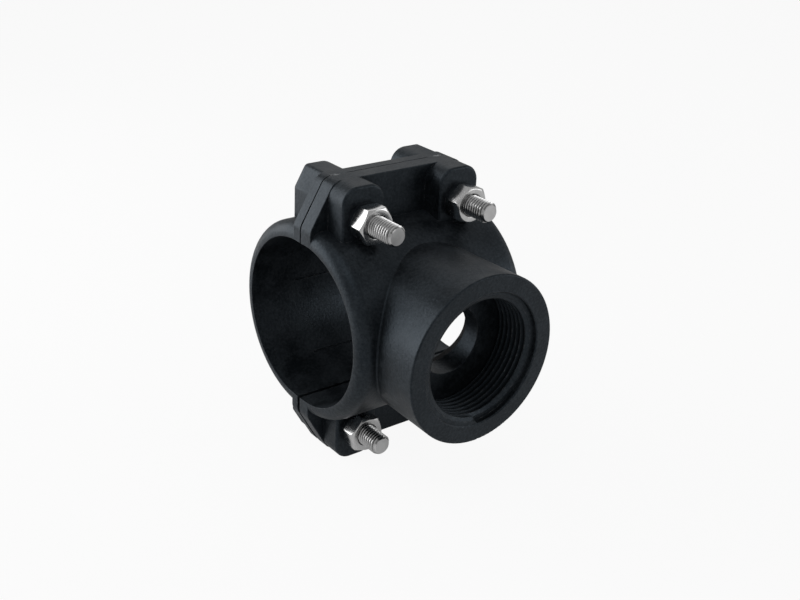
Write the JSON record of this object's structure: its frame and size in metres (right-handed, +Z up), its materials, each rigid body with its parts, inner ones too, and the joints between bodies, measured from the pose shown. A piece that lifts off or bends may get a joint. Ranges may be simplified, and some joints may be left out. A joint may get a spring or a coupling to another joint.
{
  "type": "tapping saddle",
  "caption": "Two-half plastic clamp saddle that bolts round a pipe and carries a threaded side outlet, with a ring seal round the tapping hole",
  "frame": {"origin": "mid length on the line of a pipe seated in the rear half", "axes": "+X along the pipe, -Y out of the threaded outlet, +Z up, with the lower lugs as feet"},
  "size_m": [0.0762, 0.0996, 0.1096],
  "materials": {
    "moulding": "satin",
    "stainless": "machined",
    "seal": "matte"
  },
  "bodies": {
    "root": {"outlet_half": "moulding", "rear_half": "moulding", "saddle_seal": "seal", "bolt_upper_left": "stainless", "nut_upper_left": "stainless", "bolt_upper_right": "stainless", "nut_upper_right": "stainless", "bolt_lower_left": "stainless", "nut_lower_left": "stainless", "bolt_lower_right": "stainless", "nut_lower_right": "stainless"}
  },
  "joints": []
}
